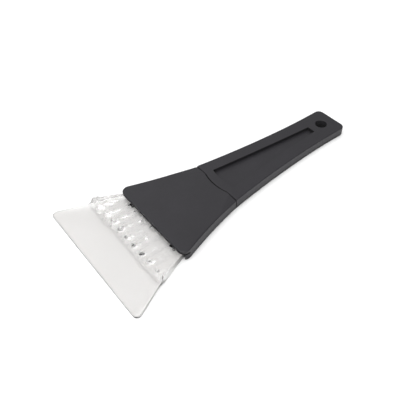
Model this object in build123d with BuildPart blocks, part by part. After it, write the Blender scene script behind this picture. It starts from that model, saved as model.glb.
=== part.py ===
from build123d import *
import os

# Windshield ice scraper, lying flat with its clear blade at -X and its handle towards +X.
# Millimetres, +Z up.  The origin is on the resting surface, under the middle of the object.

# ---------------------------------------------------------------- driving dimensions
length = 222.5                # blade edge to the end of the handle
blade_width = 110.0           # scraping edge, before its corners are rounded

# Distances measured back from the scraping edge
root_start = 23.4             # where the blade ramps up into its thick root
root_crest = 27.6             # highest line of the root
tooth_start = 28.8            # centres of the ice-breaking teeth's round noses
head_start = 46.4             # front face of the head
blade_screw_at = 58.0         # row of bosses that holds the blade
blade_end = 70.0              # end of the blade's tongue, inside the head
spigot_end = 76.0             # end of the handle's spigot, inside the head
facet_start = 82.0            # where the head's rear corners start to slope
neck_screw_at = 88.0
seam = 103.2                  # joint between head and handle
slope_start = 105.8           # where the handle's top starts to fall towards the tail
recess_start = 109.8          # front corners of the recess in the handle
handle_screw_at = 115.0
recess_end = 199.0
hole_at = 210.0               # hanging hole

# Half-widths of the black body in plan
head_front_half = 38.8
head_middle_half = 29.4
neck_half = 22.3
grip_half = 17.5
grip_half_at = 142.6
tail_start_half = 14.6
tail_start_at = 182.0
tail_half = 14.2

# Heights
head_height = 8.5
tail_height = 7.3
mouth_top = 6.0               # underside of the head's top wall
floor_thickness = 1.6
cavity_top = 5.6              # underside of the handle's top wall
tray_depth = 2.5              # recess in the top of the handle

# Walls, gaps and edge treatments
wall = 2.2
fit_gap = 0.15
seam_gap = 0.3                # open line between head and handle
seam_bevel = 0.35
tongue_gap = 0.6              # open line round the tongue
tongue_bevel = 0.3
edge_radius = 0.7             # upper rims of both shells
foot_radius = 1.0             # lower rims of both shells
head_corner_radius = 5.0
tail_corner_radius = 4.5
upright_limit = 0.1           # a side face's normal rises by no more than this
level_limit = 0.9             # and a top face's by at least this

# Neck: a spigot inside, and a shallow round tongue on top that laps over the head
spigot_half = 12.8
spigot_gap = 0.1              # room above and below the spigot
spigot_bottom = floor_thickness + spigot_gap
spigot_top = mouth_top - spigot_gap
tongue_half = 11.6
tongue_bulge = 1.5

# Head details
mouth_half = 35.9
mouth_depth = 4.4             # how far the mouth cuts back past the front wall
tab_at = 23.5                 # locating tabs on the front edge of the floor plate
tab_half = 1.3
tab_setback = 0.4             # tab's tip, behind the front of the head
corner_slot_height = 1.1
corner_slot_length = 6.5
facet_rim_half = 27.8         # where the sloping corner starts on the side
facet_inner_half = 14.6       # flat width left at the seam, half
facet_drop = 0.7

# Recess in the handle
recess_front_half = 11.4
recess_middle_half = 7.0
recess_rear_half = 3.4
recess_front_bulge = 1.4
recess_web = 1.5              # walls between the recess and the hollow beside and under it
hole_radius = 4.5
hole_rim_radius = 0.45
hole_tube_radius = 6.8
hook_half = 5.0
hook_length = 1.3
hook_bottom = 0.5
hook_top = 1.5

# Blade
blade_corner_radius = 3.0
blade_step_half = 44.0        # half-width where the root starts
root_crest_half = 43.1
root_mouth_half = 35.6
tongue_front_half = 31.4      # tongue half-width midway between the mouth and its end
tongue_side_gap = 0.6
edge_thickness = 1.1
bevel_length = 1.7
bevel_height = 1.6
step_height = 3.6
crest_height = 7.2
root_mouth_height = 4.9
blade_tongue_height = 5.2
root_bottom = floor_thickness + fit_gap
flat_foot = 3.0
tooth_count = 9
tooth_pitch = 8.6
tooth_radius = 2.6
tooth_front_height = 5.6      # axis of the rounded teeth at their front end
tooth_rear_height = 2.9       # and at their rear end, inside the mouth
tooth_rear_at = 49.0

# Bosses and self-tapping screws
boss_radius = 3.4
boss_gap = 0.2
pilot_radius = 1.25
pilot_top = 7.2
screw_shank_radius = 1.2
screw_head_radius = 2.25
screw_head_rim = 0.3
screw_sink = 0.15
screw_tip_height = 6.9
screw_tip_length = 0.8
screw_tip_radius = 0.4
screw_cross_length = 2.6
screw_cross_width = 0.55
screw_cross_depth = 0.8
clearance_radius = 1.4
countersink_radius = 2.8

blade_boss_spacing = 22.0
neck_boss_half = 7.5
handle_boss_half = 15.0


def x_at(distance):
    """X of a place this far behind the scraping edge."""
    return distance - length / 2


blade_bosses = [(x_at(blade_screw_at), y) for y in (-blade_boss_spacing, 0, blade_boss_spacing)]
neck_bosses = [(x_at(neck_screw_at), y) for y in (-neck_boss_half, neck_boss_half)]
handle_bosses = [(x_at(handle_screw_at), y) for y in (-handle_boss_half, handle_boss_half)]


def screw_holes(points):
    """Countersunk screw holes, from below, through a floor plate in the active part."""
    below = [Location(Plane(origin=(x, y, 0), z_dir=(0, 0, -1))) for x, y in points]
    with Locations(*below):
        CounterSinkHole(
            clearance_radius,
            countersink_radius,
            depth=floor_thickness,
            counter_sink_angle=90,
        )


def round_front(corner_x, half, crown_x):
    """Outline, in the active sketch, of a lap with a shallow round front and square sides."""
    with BuildLine() as outline:
        ThreePointArc((corner_x, -half), (crown_x, 0), (corner_x, half))
        Polyline(
            (corner_x, half),
            (corner_x + wall, half),
            (corner_x + wall, -half),
            (corner_x, -half),
        )
    make_face(outline.edges())


def soften(shell, seam_x):
    """Bevel the outline of the active shell's seam face, and round its upper and lower rims."""
    def away_from_seam(edge):
        return abs(edge.center().X - seam_x) > 2 * seam_bevel

    seam_face = shell.faces().filter_by(Axis.X).sort_by(lambda face: abs(face.center().X - seam_x))[0]
    chamfer(seam_face.edges(), seam_bevel)
    sides = [face for face in shell.faces() if abs(face.normal_at().Z) < upright_limit]
    side_edges = [edge for face in sides for edge in face.edges()]
    upper = [face for face in shell.faces() if face.normal_at().Z > level_limit]
    upper_rim = [edge for face in upper for edge in face.edges() if edge in side_edges]
    fillet([edge for edge in upper_rim if away_from_seam(edge)], edge_radius)
    lower_rim = shell.faces().sort_by(Axis.Z)[0].edges()
    fillet([edge for edge in lower_rim if away_from_seam(edge)], foot_radius)


# ---------------------------------------------------------------- plans shared by several pieces
with BuildSketch() as head_plan:
    with BuildLine():
        front = (x_at(head_start), head_front_half)
        middle = (x_at((head_start + seam) / 2), head_middle_half)
        rear = (x_at(seam), neck_half)
        Line((front[0], 0), front)
        ThreePointArc(front, middle, rear)
        Line(rear, (rear[0], 0))
        mirror(about=Plane.XZ)
    make_face()
    fillet(head_plan.vertices().group_by(Axis.X)[0], head_corner_radius)

with BuildSketch() as handle_plan:
    with BuildLine():
        front = (x_at(seam) + seam_gap, neck_half)
        tail = (length / 2, tail_half)
        tail_start = (x_at(tail_start_at), tail_start_half)
        Line((front[0], 0), front)
        grip_side = ThreePointArc(front, (x_at(grip_half_at), grip_half), tail_start)
        TangentArc(tail_start, tail, tangent=grip_side % 1)
        Line(tail, (tail[0], 0))
        mirror(about=Plane.XZ)
    make_face()
    fillet(handle_plan.vertices().group_by(Axis.X)[-1], tail_corner_radius)

with BuildSketch() as recess_plan:
    with BuildLine():
        front = (x_at(recess_start), recess_front_half)
        middle = (x_at((recess_start + recess_end) / 2), recess_middle_half)
        rear = (x_at(recess_end), recess_rear_half)
        ThreePointArc((front[0], -front[1]), (front[0] - recess_front_bulge, 0), front)
        ThreePointArc(front, middle, rear)
        Line(rear, (rear[0], -rear[1]))
        ThreePointArc((rear[0], -rear[1]), (middle[0], -middle[1]), (front[0], -front[1]))
    make_face()

# Top of the handle, falling gently towards the tail
fall = (head_height - tail_height) / (length - slope_start)
handle_top = Plane(
    origin=(0, 0, head_height + fall * x_at(slope_start)),
    x_dir=(1, 0, -fall),
    z_dir=(fall, 0, 1),
)


# ---------------------------------------------------------------- clear blade
with BuildPart() as blade:
    # Side view: thin plate from the scraping edge, stepping up into the thick root
    with BuildSketch(Plane.XZ):
        with BuildLine():
            Polyline(
                (x_at(0), 0),
                (x_at(flat_foot), 0),
                (x_at(root_start), root_bottom),
                (x_at(blade_end), root_bottom),
                (x_at(blade_end), blade_tongue_height),
                (x_at(tooth_rear_at), root_mouth_height),
                (x_at(root_crest), crest_height),
                (x_at(root_start), step_height),
                (x_at(bevel_length), bevel_height),
                (x_at(0), edge_thickness),
                close=True,
            )
        make_face()
    extrude(amount=blade_width / 2, both=True)
    # Row of round-nosed ice-breaking teeth, running back along the root into the head
    for index in range(tooth_count):
        y = (index - (tooth_count - 1) / 2) * tooth_pitch
        nose = Vector(x_at(tooth_start), y, tooth_front_height)
        heel = Vector(x_at(tooth_rear_at), y, tooth_rear_height)
        tooth_plane = Plane(origin=nose, z_dir=heel - nose)
        with BuildSketch(tooth_plane):
            Circle(tooth_radius)
        extrude(amount=(heel - nose).length)
        with Locations(nose):
            Sphere(tooth_radius)
    # Teeth end flush with the root's flat underside
    with BuildSketch(Plane.XY.offset(-tooth_radius)):
        with Locations((x_at((root_crest + blade_end) / 2), 0)):
            Rectangle(blade_end - root_crest, blade_width)
    extrude(amount=tooth_radius + root_bottom, mode=Mode.SUBTRACT)
    # Plan: flared plate, root narrowing to the mouth, tongue inside the head
    with BuildSketch() as blade_plan:
        with BuildLine():
            side_gap = wall + tongue_side_gap
            Polyline(
                (x_at(0), 0),
                (x_at(0), blade_width / 2),
                (x_at(root_start), blade_step_half),
                (x_at(root_crest), root_crest_half),
                (x_at(head_start), root_mouth_half),
                (x_at((head_start + blade_end) / 2), tongue_front_half),
                (x_at(blade_end), head_middle_half - side_gap),
                (x_at(blade_end), 0),
            )
            mirror(about=Plane.XZ)
        make_face()
        widest = blade_plan.vertices().sort_by(Axis.Y)
        fillet([widest[0], widest[-1]], blade_corner_radius)
    extrude(amount=head_height, mode=Mode.INTERSECT)
    # Holes that drop over the bosses of the head cover
    with Locations(*[(x, y, head_height) for x, y in blade_bosses]):
        Hole(boss_radius + boss_gap)


# ---------------------------------------------------------------- head cover
with BuildPart() as head_cover:
    with BuildSketch():
        add(head_plan.sketch)
    extrude(amount=head_height)
    # Sloping rear corners: one plane on each side, dropping towards the seam
    for side_sign in (1, -1):
        rim = Vector(x_at(facet_start), side_sign * facet_rim_half, head_height)
        inner = Vector(x_at(seam), side_sign * facet_inner_half, head_height)
        outer = Vector(x_at(seam), side_sign * neck_half, head_height - facet_drop)
        facet_normal = (inner - rim).cross(outer - rim) * side_sign
        facet = Plane(origin=rim, x_dir=inner - rim, z_dir=facet_normal)
        split(bisect_by=facet, keep=Keep.BOTTOM)
    soften(head_cover, x_at(seam))
    # Hollow from below, with an open mouth at the front and a way in for the spigot
    with BuildSketch():
        add(head_plan.sketch)
        offset(amount=-wall, kind=Kind.INTERSECTION, mode=Mode.REPLACE)
    extrude(amount=mouth_top, mode=Mode.SUBTRACT)
    with BuildSketch():
        with Locations((x_at(head_start), 0)):
            Rectangle(2 * mouth_depth, 2 * mouth_half)
        with Locations((x_at(seam), 0)):
            Rectangle(2 * mouth_depth, 2 * (spigot_half + fit_gap))
    extrude(amount=mouth_top, mode=Mode.SUBTRACT)
    # Scallop in the top wall for the handle's tongue
    with BuildSketch(Plane.XY.offset(mouth_top)):
        round_front(x_at(seam), tongue_half + tongue_gap, x_at(seam) - tongue_bulge - tongue_gap)
    extrude(amount=head_height, mode=Mode.SUBTRACT)
    scallop_rim = head_cover.edges().filter_by(GeomType.CIRCLE).sort_by(Axis.X)
    chamfer(scallop_rim.filter_by_position(Axis.Z, head_height, head_height)[-1], tongue_bevel)
    # Slot under the top wall that runs round both front corners
    with BuildSketch(Plane.XY.offset(mouth_top - corner_slot_height)):
        with Locations((x_at(head_start), 0)):
            Rectangle(2 * corner_slot_length, 2 * head_front_half)
    extrude(amount=corner_slot_height, mode=Mode.SUBTRACT)
    # Bosses that pass through the blade and the spigot down to the floor plate
    with BuildSketch(Plane.XY.offset(floor_thickness)):
        with Locations(*blade_bosses, *neck_bosses):
            Circle(boss_radius)
    extrude(amount=mouth_top - floor_thickness)
    with BuildSketch(Plane.XY.offset(floor_thickness)):
        with Locations(*blade_bosses, *neck_bosses):
            Circle(pilot_radius)
    extrude(amount=pilot_top - floor_thickness, mode=Mode.SUBTRACT)


# ---------------------------------------------------------------- head floor plate
with BuildPart() as head_base:
    with BuildSketch():
        add(head_plan.sketch)
        offset(amount=-(wall + fit_gap), kind=Kind.INTERSECTION, mode=Mode.REPLACE)
        with Locations((x_at(head_start) + wall, tab_at), (x_at(head_start) + wall, -tab_at)):
            Rectangle(2 * (wall - tab_setback), 2 * tab_half)
        with Locations((x_at(seam) - wall, 0)):
            Rectangle(2 * wall, 2 * spigot_half)
    extrude(amount=floor_thickness)
    screw_holes(blade_bosses + neck_bosses)


# ---------------------------------------------------------------- handle cover
with BuildPart() as handle_cover:
    with BuildSketch():
        add(handle_plan.sketch)
    extrude(amount=head_height)
    split(bisect_by=handle_top, keep=Keep.BOTTOM)
    soften(handle_cover, x_at(seam) + seam_gap)
    # Recess in the grip, of even depth, and the hanging hole
    with BuildSketch(handle_top.offset(-tray_depth)):
        add(recess_plan.sketch)
    extrude(amount=tray_depth, mode=Mode.SUBTRACT)
    with Locations((x_at(hole_at), 0, head_height)):
        Hole(hole_radius)
    hole_rim = handle_cover.edges().filter_by(GeomType.ELLIPSE).sort_by(Axis.X)[-1]
    fillet(hole_rim, hole_rim_radius)
    # Hollow from below, beside and under the recess, leaving a tube round the hole
    with BuildSketch():
        add(handle_plan.sketch)
        offset(amount=-wall, kind=Kind.INTERSECTION, mode=Mode.REPLACE)
        with BuildSketch(mode=Mode.SUBTRACT):
            add(recess_plan.sketch)
            offset(amount=recess_web, kind=Kind.INTERSECTION, mode=Mode.REPLACE)
        with Locations((x_at(hole_at), 0)):
            Circle(hole_tube_radius, mode=Mode.SUBTRACT)
    extrude(amount=cavity_top, mode=Mode.SUBTRACT)
    with BuildSketch():
        add(handle_plan.sketch)
        offset(amount=-wall, kind=Kind.INTERSECTION, mode=Mode.REPLACE)
        with Locations((x_at(hole_at), 0)):
            Circle(hole_tube_radius, mode=Mode.SUBTRACT)
    extrude(amount=tail_height - tray_depth - recess_web, mode=Mode.SUBTRACT)
    # Pocket in the tail wall for the floor plate's hook
    with BuildSketch(Plane.XY.offset(hook_bottom - fit_gap)):
        with Locations((length / 2 - wall, 0)):
            Rectangle(2 * hook_length + 2 * fit_gap, 2 * (hook_half + fit_gap))
    extrude(amount=hook_top - hook_bottom + 2 * fit_gap, mode=Mode.SUBTRACT)
    # Tongue that laps over the head
    with BuildSketch(Plane.XY.offset(mouth_top + spigot_gap)):
        round_front(x_at(seam) + seam_gap, tongue_half, x_at(seam) - tongue_bulge)
    extrude(amount=head_height - mouth_top - spigot_gap)
    tongue_rim = handle_cover.edges().filter_by(GeomType.CIRCLE).sort_by(Axis.X)
    chamfer(tongue_rim.filter_by_position(Axis.Z, head_height, head_height)[0], tongue_bevel)
    # Spigot that plugs into the head, with holes for the head cover's bosses
    with BuildSketch(Plane.XY.offset(spigot_bottom)):
        with Locations((x_at((spigot_end + seam) / 2 + wall / 2), 0)):
            Rectangle(seam - spigot_end + wall, 2 * spigot_half)
    extrude(amount=spigot_top - spigot_bottom)
    with BuildSketch(Plane.XY.offset(spigot_bottom)):
        with Locations(*neck_bosses):
            Circle(boss_radius + boss_gap)
    extrude(amount=spigot_top - spigot_bottom, mode=Mode.SUBTRACT)
    # Screw bosses
    with BuildSketch(Plane.XY.offset(floor_thickness)):
        with Locations(*handle_bosses):
            Circle(boss_radius)
    extrude(amount=cavity_top - floor_thickness)
    with BuildSketch(Plane.XY.offset(floor_thickness)):
        with Locations(*handle_bosses):
            Circle(pilot_radius)
    extrude(amount=pilot_top - floor_thickness, mode=Mode.SUBTRACT)


# ---------------------------------------------------------------- handle floor plate
with BuildPart() as handle_base:
    with BuildSketch():
        add(handle_plan.sketch)
        offset(amount=-(wall + fit_gap), kind=Kind.INTERSECTION, mode=Mode.REPLACE)
        with Locations((x_at(hole_at), 0)):
            Circle(hole_tube_radius + fit_gap, mode=Mode.SUBTRACT)
    extrude(amount=floor_thickness)
    with BuildSketch(Plane.XY.offset(hook_bottom)):
        with Locations((length / 2 - wall - hook_length / 2, 0)):
            Rectangle(3 * hook_length, 2 * hook_half)
    extrude(amount=hook_top - hook_bottom)
    screw_holes(handle_bosses)


# ---------------------------------------------------------------- self-tapping screws
def make_screw(point, name):
    """Countersunk self-tapping screw, driven upwards at this point of the underside."""
    x, y = point
    with BuildPart() as screw:
        with BuildSketch(Plane(origin=(x, y, 0), x_dir=(1, 0, 0), z_dir=(0, -1, 0))):
            with BuildLine():
                cone_top = screw_sink + screw_head_rim + screw_head_radius - screw_shank_radius
                Polyline(
                    (0, screw_sink),
                    (screw_head_radius, screw_sink),
                    (screw_head_radius, screw_sink + screw_head_rim),
                    (screw_shank_radius, cone_top),
                    (screw_shank_radius, screw_tip_height - screw_tip_length),
                    (screw_tip_radius, screw_tip_height),
                    (0, screw_tip_height),
                    close=True,
                )
            make_face()
        revolve(axis=Axis((x, y, 0), (0, 0, 1)))
        with BuildSketch(Plane.XY.offset(screw_sink)):
            with Locations(point):
                Rectangle(screw_cross_length, screw_cross_width)
                Rectangle(screw_cross_width, screw_cross_length)
        extrude(amount=screw_cross_depth, mode=Mode.SUBTRACT)
    screw.part.label = name
    export_step(screw.part, f"parts/{name}.step")


# ---------------------------------------------------------------- export
os.makedirs("parts", exist_ok=True)

blade.part.label = "blade"
export_step(blade.part, "parts/blade.step")
head_cover.part.label = "head_cover"
export_step(head_cover.part, "parts/head_cover.step")
head_base.part.label = "head_base"
export_step(head_base.part, "parts/head_base.step")
handle_cover.part.label = "handle_cover"
export_step(handle_cover.part, "parts/handle_cover.step")
handle_base.part.label = "handle_base"
export_step(handle_base.part, "parts/handle_base.step")

screw_rows = {"blade_screw": blade_bosses, "neck_screw": neck_bosses, "handle_screw": handle_bosses}
for row_name, row_points in screw_rows.items():
    for number, row_point in enumerate(row_points, start=1):
        make_screw(row_point, f"{row_name}_{number}")
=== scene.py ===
import math

import bmesh
import bpy
from mathutils import Matrix, Vector, noise


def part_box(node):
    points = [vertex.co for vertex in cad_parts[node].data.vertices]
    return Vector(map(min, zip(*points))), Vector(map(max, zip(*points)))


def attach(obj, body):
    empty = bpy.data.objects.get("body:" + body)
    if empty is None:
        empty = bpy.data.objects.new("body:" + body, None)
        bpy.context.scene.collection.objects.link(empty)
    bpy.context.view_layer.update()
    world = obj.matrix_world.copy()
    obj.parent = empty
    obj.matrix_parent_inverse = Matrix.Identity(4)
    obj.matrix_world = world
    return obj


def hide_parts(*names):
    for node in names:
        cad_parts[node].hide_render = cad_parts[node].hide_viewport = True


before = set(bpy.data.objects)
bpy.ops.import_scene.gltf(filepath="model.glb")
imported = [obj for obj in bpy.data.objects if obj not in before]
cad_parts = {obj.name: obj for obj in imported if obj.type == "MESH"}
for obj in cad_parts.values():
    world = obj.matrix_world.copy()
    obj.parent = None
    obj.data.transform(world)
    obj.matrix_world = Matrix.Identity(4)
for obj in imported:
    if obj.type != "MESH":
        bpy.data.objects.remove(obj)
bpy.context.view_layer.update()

MM = 0.001

# ---------------------------------------------------------------- camera
CAMERA_AZIMUTH = math.radians(-126.83)     # of the camera's place, seen from its target
CAMERA_ELEVATION = math.radians(46.15)
CAMERA_ROLL = math.radians(-1.55)
CAMERA_DISTANCE = 382.6 * MM
CAMERA_TARGET = Vector((-22.35, 0.1, 0.0)) * MM
CAMERA_LENS = 48.82                        # millimetres, on the sensor below
CAMERA_SENSOR = 36.0
CAMERA_NEAR = 10.0 * MM


def add_camera():
    """Camera on the side of the blade, looking down at the scraper."""
    outward = Vector((
        math.cos(CAMERA_ELEVATION) * math.cos(CAMERA_AZIMUTH),
        math.cos(CAMERA_ELEVATION) * math.sin(CAMERA_AZIMUTH),
        math.sin(CAMERA_ELEVATION),
    ))
    camera = bpy.data.objects.new("camera", bpy.data.cameras.new("camera"))
    camera.data.lens = CAMERA_LENS
    camera.data.sensor_width = CAMERA_SENSOR
    camera.data.clip_start = CAMERA_NEAR
    turn = outward.to_track_quat("Z", "Y").to_matrix().to_4x4()
    roll = Matrix.Rotation(CAMERA_ROLL, 4, "Z")
    place = Matrix.Translation(CAMERA_TARGET + outward * CAMERA_DISTANCE)
    camera.matrix_world = place @ turn @ roll
    bpy.context.scene.collection.objects.link(camera)
    bpy.context.scene.camera = camera


# ---------------------------------------------------------------- stage
FLOOR_SIZE = 6.0               # metres
FLOOR_DROP = 0.2 * MM          # below the scraper, so that the two surfaces don't touch
FLOOR_COLOUR = (0.9, 0.9, 0.9, 1.0)
FLOOR_ROUGHNESS = 0.9
FLOOR_SPECULAR = 0.1
SKY_BRIGHT = 1.35              # over the blade and overhead
SKY_DIM = 0.5                  # beyond the handle's tail
SKY_FADE_START = 0.15          # +X part of the direction where the fade starts
SKY_FADE_END = 0.85
HORIZON_DIM = 0.3              # share of the sky's brightness left at the horizon
HORIZON_LOW = 0.05             # +Z part of the direction where the sky starts to clear
HORIZON_HIGH = 0.45
SOFTBOXES = {                  # place and size in metres, power in watts
    "key_light": ((-0.5, -0.1, 1.5), 1.4, 9.0),
    "fill_light": ((-0.9, -0.7, 0.9), 0.9, 3.0),
}


def add_stage():
    """Pale floor, a bright sky and two softboxes."""
    scene = bpy.context.scene
    scene.view_settings.view_transform = "Standard"
    world = bpy.data.worlds.new("studio")
    scene.world = world
    world.use_nodes = True
    add_sky(world.node_tree)
    add_floor()
    for name, (place, size, power) in SOFTBOXES.items():
        add_softbox(name, place, size, power)


def add_sky(tree):
    """White sky that dims towards the handle's tail and again down to the horizon."""
    coordinates = tree.nodes.new("ShaderNodeTexCoord")
    split = tree.nodes.new("ShaderNodeSeparateXYZ")
    tree.links.new(coordinates.outputs["Generated"], split.inputs["Vector"])
    fades = []
    for axis, start, end, low, high in (
        ("X", SKY_FADE_START, SKY_FADE_END, SKY_BRIGHT, SKY_DIM),
        ("Z", HORIZON_LOW, HORIZON_HIGH, HORIZON_DIM, 1.0),
    ):
        fade = tree.nodes.new("ShaderNodeMapRange")
        fade.interpolation_type = "SMOOTHSTEP"
        fade.inputs["From Min"].default_value = start
        fade.inputs["From Max"].default_value = end
        fade.inputs["To Min"].default_value = low
        fade.inputs["To Max"].default_value = high
        tree.links.new(split.outputs[axis], fade.inputs["Value"])
        fades.append(fade)
    both = tree.nodes.new("ShaderNodeMath")
    both.operation = "MULTIPLY"
    tree.links.new(fades[0].outputs["Result"], both.inputs[0])
    tree.links.new(fades[1].outputs["Result"], both.inputs[1])
    sky = tree.nodes["Background"]
    sky.inputs["Color"].default_value = (1.0, 1.0, 1.0, 1.0)
    tree.links.new(both.outputs["Value"], sky.inputs["Strength"])


def add_floor():
    """Matt floor just under the scraper."""
    bpy.ops.mesh.primitive_plane_add(size=FLOOR_SIZE, location=(0, 0, -FLOOR_DROP))
    floor = bpy.context.active_object
    floor.name = "floor"
    paint = bpy.data.materials.new("floor_paint")
    paint.use_nodes = True
    shader = paint.node_tree.nodes["Principled BSDF"]
    shader.inputs["Base Color"].default_value = FLOOR_COLOUR
    shader.inputs["Roughness"].default_value = FLOOR_ROUGHNESS
    shader.inputs["Specular IOR Level"].default_value = FLOOR_SPECULAR
    floor.data.materials.append(paint)


def add_softbox(name, place, size, power):
    """Square area light that faces the middle of the object."""
    light = bpy.data.lights.new(name, "AREA")
    light.shape = "SQUARE"
    light.size = size
    light.energy = power
    lamp = bpy.data.objects.new(name, light)
    lamp.location = place
    lamp.rotation_euler = Vector(place).to_track_quat("Z", "Y").to_euler()
    bpy.context.scene.collection.objects.link(lamp)


# ---------------------------------------------------------------- materials
SHADER_SAMPLES = 6             # rays for rounded normals and for cavities

# Black plastic
CLOUD_LIFT = 1.25              # brightest cloud, as a multiple of the base tone
CAVITY_REACH = 8.0 * MM
# Painted shade: the colour that deep holes, slots and the recess darken to
CAVITY_PAINTED_SHADE = (0.001, 0.001, 0.001)
CAVITY_DULLING = 0.6           # added to the roughness
RUB_REACH = 0.8 * MM           # width of the rubbed edges
RUB_POLISH = 0.08              # taken off the roughness
SHELL_SPECULAR = 0.35

# Clear plastic
POLYCARBONATE_IOR = 1.585


class Nodes:
    """Short way to add and link shader nodes in one material."""

    def __init__(self, name):
        self.material = bpy.data.materials.new(name)
        self.material.use_nodes = True
        self.tree = self.material.node_tree
        self.shader = self.tree.nodes["Principled BSDF"]
        self.coordinates = self.tree.nodes.new("ShaderNodeTexCoord").outputs["Object"]

    def link(self, source, target):
        self.tree.links.new(source, target)

    def noise(self, scale, detail=4.0, roughness=0.5):
        node = self.tree.nodes.new("ShaderNodeTexNoise")
        node.inputs["Scale"].default_value = scale
        node.inputs["Detail"].default_value = detail
        node.inputs["Roughness"].default_value = roughness
        self.link(self.coordinates, node.inputs["Vector"])
        return node.outputs["Fac"]

    def remap(self, value, low, high, start=0.3, end=0.7):
        """From low, where the value is at start, to high, where it is at end."""
        node = self.tree.nodes.new("ShaderNodeMapRange")
        node.inputs["From Min"].default_value = start
        node.inputs["From Max"].default_value = end
        node.inputs["To Min"].default_value = low
        node.inputs["To Max"].default_value = high
        self.link(value, node.inputs["Value"])
        return node.outputs["Result"]

    def mix_colour(self, factor, first, second):
        """Each colour is a tuple of three numbers or another node's output."""
        node = self.tree.nodes.new("ShaderNodeMix")
        node.data_type = "RGBA"
        self.link(factor, node.inputs[0])
        for socket, colour in ((node.inputs[6], first), (node.inputs[7], second)):
            if isinstance(colour, tuple):
                socket.default_value = (*colour, 1.0)
            else:
                self.link(colour, socket)
        return node.outputs[2]

    def maths(self, operation, first, second):
        """Each value is a number or another node's output."""
        node = self.tree.nodes.new("ShaderNodeMath")
        node.operation = operation
        for socket, value in ((node.inputs[0], first), (node.inputs[1], second)):
            if isinstance(value, (int, float)):
                socket.default_value = value
            else:
                self.link(value, socket)
        return node.outputs[0]

    def bump(self, height, distance, strength):
        node = self.tree.nodes.new("ShaderNodeBump")
        node.inputs["Distance"].default_value = distance
        node.inputs["Strength"].default_value = strength
        self.link(height, node.inputs["Height"])
        self.link(node.outputs["Normal"], self.shader.inputs["Normal"])

    def edge_mask(self, radius):
        """1 on edges and 0 on open faces, from how far a rounded normal leaves the true one."""
        bevel = self.tree.nodes.new("ShaderNodeBevel")
        bevel.samples = SHADER_SAMPLES
        bevel.inputs["Radius"].default_value = radius
        geometry = self.tree.nodes.new("ShaderNodeNewGeometry")
        dot = self.tree.nodes.new("ShaderNodeVectorMath")
        dot.operation = "DOT_PRODUCT"
        self.link(bevel.outputs["Normal"], dot.inputs[0])
        self.link(geometry.outputs["Normal"], dot.inputs[1])
        return self.remap(dot.outputs["Value"], 1.0, 0.0, start=0.75, end=0.985)

    def cavity_shade_and_dulling(self, distance):
        """1 deep inside holes and slots and 0 on open faces: where painted shade darkens the colour
        and the gloss dulls.
        """
        node = self.tree.nodes.new("ShaderNodeAmbientOcclusion")
        node.samples = SHADER_SAMPLES
        node.inputs["Distance"].default_value = distance
        return self.remap(node.outputs["AO"], 1.0, 0.0)


def black_plastic(name, base, worn, rough_low, rough_high):
    """Black moulded plastic: fine grain, cloudy colour, rubbed edges, and cavities that are duller and
    darkened with painted shade.
    """
    nodes = Nodes(name)
    cloud = nodes.remap(nodes.noise(scale=60.0, detail=5.0, roughness=0.6), 0.0, 1.0)
    tone_and_shade = nodes.mix_colour(cloud, base, tuple(channel * CLOUD_LIFT for channel in base))
    # Painted shade: darker colour deep in holes, slots and the recess, and duller gloss there
    cavity_shade_and_dulling = nodes.cavity_shade_and_dulling(CAVITY_REACH)
    tone_and_shade = nodes.mix_colour(cavity_shade_and_dulling, tone_and_shade, CAVITY_PAINTED_SHADE)
    patchy = nodes.remap(nodes.noise(scale=400.0), 0.2, 1.0)
    rub = nodes.maths("MULTIPLY", nodes.edge_mask(RUB_REACH), patchy)
    nodes.link(nodes.mix_colour(rub, tone_and_shade, worn), nodes.shader.inputs["Base Color"])
    rough = nodes.remap(nodes.noise(scale=900.0), rough_low, rough_high)
    rough = nodes.maths("SUBTRACT", rough, nodes.maths("MULTIPLY", rub, RUB_POLISH))
    rough = nodes.maths("ADD", rough, nodes.maths("MULTIPLY", cavity_shade_and_dulling, CAVITY_DULLING))
    nodes.link(rough, nodes.shader.inputs["Roughness"])
    grain = nodes.noise(scale=2600.0, detail=3.0, roughness=0.6)
    nodes.bump(grain, distance=0.06 * MM, strength=0.5)
    nodes.shader.inputs["Specular IOR Level"].default_value = SHELL_SPECULAR
    return nodes.material


def clear_plastic(name, dull, bright, rough_low, rough_high):
    """Clear polycarbonate with faint swirl and a finely uneven gloss."""
    nodes = Nodes(name)
    nodes.shader.inputs["Transmission Weight"].default_value = 1.0
    nodes.shader.inputs["IOR"].default_value = POLYCARBONATE_IOR
    haze = nodes.remap(nodes.noise(scale=35.0), 0.0, 1.0)
    nodes.link(nodes.mix_colour(haze, dull, bright), nodes.shader.inputs["Base Color"])
    rough = nodes.remap(nodes.noise(scale=700.0, detail=5.0), rough_low, rough_high)
    nodes.link(rough, nodes.shader.inputs["Roughness"])
    swirl = nodes.noise(scale=120.0, detail=2.0)
    nodes.bump(swirl, distance=0.05 * MM, strength=0.3)
    return nodes.material


def zinc_steel(name, dull, bright, rough_low, rough_high):
    """Zinc-plated screw steel with a fine mottled surface."""
    nodes = Nodes(name)
    nodes.shader.inputs["Metallic"].default_value = 1.0
    mottle = nodes.remap(nodes.noise(scale=1500.0), 0.0, 1.0)
    nodes.link(nodes.mix_colour(mottle, dull, bright), nodes.shader.inputs["Base Color"])
    rough = nodes.remap(nodes.noise(scale=2500.0), rough_low, rough_high)
    nodes.link(rough, nodes.shader.inputs["Roughness"])
    nodes.bump(nodes.noise(scale=4000.0), distance=0.02 * MM, strength=0.4)
    return nodes.material


def paint_node(node_name, material):
    """Gives a CAD node's object this material."""
    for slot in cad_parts[node_name].material_slots:
        slot.material = material


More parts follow.
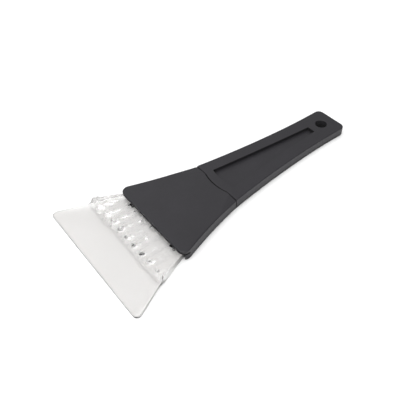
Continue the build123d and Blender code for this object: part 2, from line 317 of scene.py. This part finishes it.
# ---------------------------------------------------------------- clear blade
# Millimetres.  u runs back from the scraping edge, v across the blade and z up.
ROOT_START = 23.4              # plate ramps up into the root
ROOT_CREST = 27.6
MOUTH = 46.4                   # front of the head
BLADE_END = 70.0               # back of the tongue, inside the head
SIDE_STATIONS = [              # u and half-width
    (0.0, 55.0), (ROOT_START, 44.0), (ROOT_CREST, 43.1),
    (MOUTH, 35.6), (58.2, 31.4), (BLADE_END, 26.6),
]
CORNER_RADIUS = 3.0
SIDE_BEVEL = 0.6               # on the plate's upper and lower side edges
ROOT_BEVEL = 0.3               # the same on the root and the tongue
BEVEL_SHARE = 0.35             # most that a side bevel takes of the side's height

# Plate
FLAT_FOOT = 3.0                # underside is flat up to here, then rises to ROOT_BOTTOM
ROOT_BOTTOM = 1.75
EDGE_THICKNESS = 1.1
BEVEL_LENGTH = 1.7
BEVEL_HEIGHT = 1.6
PLATE_TOP = 3.2                # top of the plate where the ramp starts
RAMP_LENGTH = 3.4
RAMP_WANDER = 1.2              # most that the ramp's foot strays to the front or back
RAMP_WANDER_WIDTH = 14.0       # size of the strays, across the blade

# Ribs and the valleys between them
VALLEY_FRONT = 4.9             # behind the noses
VALLEY_MOUTH = 5.0
RIDGE_FRONT = 7.4
RIDGE_MIDDLE = 6.3
RIDGE_MOUTH = 5.6
RIDGE_LEVEL = 1.4              # ridges start to fall this far behind the crest
RIDGE_SETTLE = 6.0             # and reach RIDGE_MIDDLE this far behind it
TONGUE_TOP = 5.0
TONGUE_FALL = 6.0              # ridges and rails reach the tongue this far inside the mouth
RIB_PITCH = 8.6
RIB_SHARPNESS = 0.9            # power of the ribs' wave: over 1 is narrower, under 1 is broader
RIB_VARIATION = 0.8            # unevenness of the ribs' heights
NOSE_AT = 25.8                 # foremost point of each rib's round nose
NOSE_VARIATION = 0.9           # unevenness of the noses' places
NOSE_RADIUS = 3.6
NOSE_RISE = 2.6

# Full-height rail along each side of the root
RAIL_TOP = 8.0
RAIL_LEVEL = 2.0               # rails start to fall this far behind the crest
RAIL_WIDTH = 0.8
RAIL_FADE = 3.5                # width of its inner slope
RAIL_ROUND = 0.7               # radius of its outer edge

# Waves of the moulded surface
WAVE_HEIGHT = 0.62
WAVE_LONG = (4.0, 2.4)         # size of the large waves in u and v
WAVE_SHORT = (2.2, 1.1)        # size of the small waves, which are half as high
WAVE_FADE = 4.0                # waves are gone this far inside the mouth
TOP_LIMIT = 8.2                # keeps every wave inside the CAD's box

# Holes for the head cover's bosses
BOSS_STATION = 58.0
BOSS_SPACING = 22.0
BOSS_HOLE_RADIUS = 3.6
DRILL_MIDDLE = 4.0             # height of the drill's middle
DRILL_LENGTH = 20.0
DRILL_SEGMENTS = 64

# Mesh
COLUMNS = 220                  # faces across the top and across the underside
ROW_RUNS = [(6.0, 2.0, 8), (21.6, 0.4, 30), (33.6, 0.6, 25)]     # start, step and number
CORNER_ROWS = [3.6, 4.27]      # the last part of the corner's arc
TONGUE_ROWS = [48.6, 49.6, 51.0, 52.4, 56.0, 60.0, 65.0]
CREASE_ANGLE = 38.0            # sharper edges are kept crisp
# The edge plastic is frosted and carries painted shade as dark outlines on the blade's sides and ends
FACE_PLASTIC = 0               # places of the two plastics in the blade's list
EDGE_PLASTIC = 1


def along(stations, u):
    """Straight-line interpolation through (u, value) stations."""
    for (start, first), (end, last) in zip(stations, stations[1:]):
        if u <= end:
            return first + (last - first) * (u - start) / (end - start)
    return stations[-1][1]


def smooth(value):
    """Eases from 0 to 1, level at both ends, and stays there outside that range."""
    value = min(max(value, 0.0), 1.0)
    return value * value * (3.0 - 2.0 * value)


def half_width(u):
    """Half-width of the blade, with its front corners rounded."""
    (_, front), (back, stepped) = SIDE_STATIONS[:2]
    slant = (front - stepped) / back
    slope = math.hypot(1.0, slant)
    centre = front - CORNER_RADIUS * (slant + slope)
    if u < CORNER_RADIUS * (1.0 + slant / slope):
        return centre + math.sqrt(CORNER_RADIUS ** 2 - (u - CORNER_RADIUS) ** 2)
    return along(SIDE_STATIONS, u)


def side_bevel(u):
    """Bevel of the upper and lower side edges, before BEVEL_SHARE limits it."""
    return along([
        (0.0, SIDE_BEVEL), (ROOT_START, SIDE_BEVEL), (ROOT_CREST, ROOT_BEVEL), (BLADE_END, ROOT_BEVEL),
    ], u)


def bottom_height(u):
    """Underside: flat at the scraping edge, rising to the root and level from there."""
    return along([
        (0.0, 0.0), (FLAT_FOOT, 0.0), (ROOT_START, ROOT_BOTTOM), (BLADE_END, ROOT_BOTTOM),
    ], u)


def plate_height(u):
    """Top of the thin plate, with its bevelled scraping edge."""
    return along([(0.0, EDGE_THICKNESS), (BEVEL_LENGTH, BEVEL_HEIGHT), (ROOT_START, PLATE_TOP)], u)


def valley_height(u):
    return along([
        (ROOT_START, VALLEY_FRONT), (ROOT_CREST, VALLEY_FRONT), (MOUTH, VALLEY_MOUTH),
        (BLADE_END, TONGUE_TOP),
    ], u)


def ridge_height(u):
    return along([
        (ROOT_START, RIDGE_FRONT), (ROOT_CREST + RIDGE_LEVEL, RIDGE_FRONT),
        (ROOT_CREST + RIDGE_SETTLE, RIDGE_MIDDLE), (MOUTH, RIDGE_MOUTH),
        (MOUTH + TONGUE_FALL, TONGUE_TOP), (BLADE_END, TONGUE_TOP),
    ], u)


def rail_height(u):
    return along([
        (ROOT_START, RAIL_TOP), (ROOT_CREST + RAIL_LEVEL, RAIL_TOP), (MOUTH, RIDGE_MOUTH),
        (MOUTH + TONGUE_FALL, TONGUE_TOP), (BLADE_END, TONGUE_TOP),
    ], u)


def surface_waves(u, v):
    """Large and small waves.  The third coordinate only picks a slice of the noise."""
    large = noise.noise(Vector((u / WAVE_LONG[0], v / WAVE_LONG[1], 5.0)))
    small = noise.noise(Vector((u / WAVE_SHORT[0], v / WAVE_SHORT[1], 8.0)))
    return large + 0.5 * small


def top_height(u, v):
    """Plate, ramp and ribbed root of the blade's upper face."""
    plate = plate_height(u)
    if u <= ROOT_START - RAMP_WANDER:
        return plate
    valley = valley_height(u)
    ridge = ridge_height(u)
    # Ramp from the plate, a little uneven from side to side
    wander = RAMP_WANDER * noise.noise(Vector((v / RAMP_WANDER_WIDTH, 3.7, 0.0)))
    ramp = smooth((u - ROOT_START - wander) / RAMP_LENGTH)
    height = plate + (valley - plate) * ramp
    # Ribs, each with a round nose and its own height and place
    number = round(v / RIB_PITCH)
    offset = v - number * RIB_PITCH
    crown = (0.5 + 0.5 * math.cos(2.0 * math.pi * offset / RIB_PITCH)) ** RIB_SHARPNESS
    lead = NOSE_VARIATION * noise.noise(Vector((number * 1.7, 0.4, 9.0)))
    lift = RIB_VARIATION * noise.noise(Vector((number * 2.3, 4.1, 2.0)))
    ridge += lift * (ridge - valley) / (RIDGE_FRONT - VALLEY_FRONT)
    inset = NOSE_RADIUS * (1.0 - math.sqrt(max(1.0 - (offset / NOSE_RADIUS) ** 2, 0.0)))
    nose = smooth((u - NOSE_AT - lead - inset) / NOSE_RISE)
    # Rail beside them
    inward = max(half_width(u) - abs(v), 0.0)
    beside = 1.0 - smooth((inward - RAIL_WIDTH) / RAIL_FADE)
    rail = rail_height(u)
    height += (ridge - valley) * crown * nose * (1.0 - beside) + (rail - valley) * nose * beside
    # Round outer edge
    inward = min(inward, RAIL_ROUND)
    height -= ramp * (RAIL_ROUND - math.sqrt(RAIL_ROUND ** 2 - (RAIL_ROUND - inward) ** 2))
    # Waves all over the root, fading out inside the head
    fade = ramp * (1.0 - smooth((u - MOUTH) / WAVE_FADE))
    return min(height + WAVE_HEIGHT * fade * surface_waves(u, v), TOP_LIMIT)


def blade_rows():
    """Stations along the blade: fine round the corners and over the root, coarse elsewhere."""
    rows = [CORNER_RADIUS * (1.0 - math.cos(math.radians(angle))) for angle in range(0, 90, 10)]
    rows += CORNER_ROWS + TONGUE_ROWS + [BEVEL_LENGTH, BLADE_END]
    for start, step, number in ROW_RUNS:
        rows += [start + step * index for index in range(number)]
    return sorted(rows)


def blade_section(u):
    """Points (v, z) round the blade at one station: top, +v side, underside, -v side."""
    half = half_width(u)
    low = bottom_height(u)
    rim = top_height(u, half)
    bevel = min(side_bevel(u), BEVEL_SHARE * (rim - low))
    across = [(half - bevel) * (2.0 * index / COLUMNS - 1.0) for index in range(COLUMNS + 1)]
    section = [(v, top_height(u, v)) for v in across]
    section += [(half, rim - bevel), (half, low + bevel)]
    section += [(v, low) for v in reversed(across)]
    section += [(-half, low + bevel), (-half, top_height(u, -half) - bevel)]
    return section


def add_end_wall(mesh, loop):
    """Closes one end of the blade with a strip of faces from its top to its underside."""
    top = loop[:COLUMNS + 1]
    plus_high, plus_low = loop[COLUMNS + 1:COLUMNS + 3]
    under = list(reversed(loop[COLUMNS + 3:2 * COLUMNS + 4]))
    minus_low, minus_high = loop[-2:]
    wall = [(top[index], top[index + 1], under[index + 1], under[index]) for index in range(COLUMNS)]
    wall += [(top[-1], plus_high, plus_low, under[-1]), (top[0], under[0], minus_low, minus_high)]
    for corners in wall:
        mesh.faces.new(corners).material_index = EDGE_PLASTIC


def add_blade(faces, edges):
    """Clear blade as one closed mesh: rows of points round each cross-section, joined along u."""
    edge_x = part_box("blade")[0][0]
    mesh = bmesh.new()
    loops = []
    for u in blade_rows():
        loops.append([mesh.verts.new((edge_x + u * MM, v * MM, z * MM)) for v, z in blade_section(u)])
    count = len(loops[0])
    sides = (COLUMNS, COLUMNS + 1, COLUMNS + 2, count - 3, count - 2, count - 1)
    for first, second in zip(loops, loops[1:]):
        for index in range(count):
            after = (index + 1) % count
            face = mesh.faces.new((first[index], first[after], second[after], second[index]))
            face.material_index = EDGE_PLASTIC if index in sides else FACE_PLASTIC
    add_end_wall(mesh, loops[0])
    add_end_wall(mesh, loops[-1])
    bmesh.ops.recalc_face_normals(mesh, faces=mesh.faces)
    blade = new_object("blade_clear", mesh)
    # Both plastics come before the cut, because it keeps only those that are there
    blade.data.materials.append(faces)
    blade.data.materials.append(edges)
    cut_boss_holes(blade, edge_x)
    shade_smooth(blade)
    return blade


def new_object(name, mesh):
    """Object from a bmesh, linked to the scene."""
    data = bpy.data.meshes.new(name)
    mesh.to_mesh(data)
    mesh.free()
    piece = bpy.data.objects.new(name, data)
    bpy.context.scene.collection.objects.link(piece)
    return piece


def cut_boss_holes(blade, edge_x):
    """Round holes in the blade's tongue for the head cover's three bosses."""
    drills = bmesh.new()
    for side in (-1, 0, 1):
        middle = (edge_x + BOSS_STATION * MM, side * BOSS_SPACING * MM, DRILL_MIDDLE * MM)
        bmesh.ops.create_cone(
            drills, cap_ends=True, segments=DRILL_SEGMENTS, radius1=BOSS_HOLE_RADIUS * MM,
            radius2=BOSS_HOLE_RADIUS * MM, depth=DRILL_LENGTH * MM, matrix=Matrix.Translation(middle),
        )
    drill = new_object("boss_drills", drills)
    cut = blade.modifiers.new("boss_holes", "BOOLEAN")
    cut.operation = "DIFFERENCE"
    cut.solver = "EXACT"
    cut.object = drill
    depsgraph = bpy.context.evaluated_depsgraph_get()
    drilled = bpy.data.meshes.new_from_object(blade.evaluated_get(depsgraph))
    blade.modifiers.clear()
    blade.data = drilled
    bpy.data.objects.remove(drill)


def shade_smooth(piece):
    """Smooth shading, with edges over CREASE_ANGLE kept crisp."""
    for face in piece.data.polygons:
        face.use_smooth = True
    piece.data.set_sharp_from_angle(angle=math.radians(CREASE_ANGLE))


# ---------------------------------------------------------------- build
add_camera()
add_stage()

shell = black_plastic(
    "shell_plastic", base=(0.0125, 0.0116, 0.0145), worn=(0.022, 0.022, 0.023),
    rough_low=0.36, rough_high=0.5,
)
underside = black_plastic(
    "plate_plastic", base=(0.008, 0.008, 0.0085), worn=(0.018, 0.018, 0.018),
    rough_low=0.42, rough_high=0.56,
)
clear = clear_plastic(
    "clear_polycarbonate", dull=(0.985, 0.975, 0.965), bright=(1.0, 0.992, 0.984),
    rough_low=0.03, rough_high=0.11,
)
# Painted shade: the grey colour darkens the blade's sides and ends into dark outlines; the higher
# roughness frosts them
frosted_shaded_edges = clear_plastic(
    "polycarbonate_edges_frosted_and_shaded", dull=(0.72, 0.72, 0.71), bright=(0.9, 0.9, 0.89),
    rough_low=0.3, rough_high=0.5,
)
steel = zinc_steel(
    "zinc_steel", dull=(0.55, 0.55, 0.54), bright=(0.72, 0.72, 0.7),
    rough_low=0.25, rough_high=0.42,
)

for node_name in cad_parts:
    if "screw" in node_name:
        paint_node(node_name, steel)
    elif node_name == "blade":
        paint_node(node_name, clear)
    elif node_name.endswith("_base"):
        paint_node(node_name, underside)
    else:
        paint_node(node_name, shell)

blade = add_blade(clear, frosted_shaded_edges)
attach(blade, "root")
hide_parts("blade")
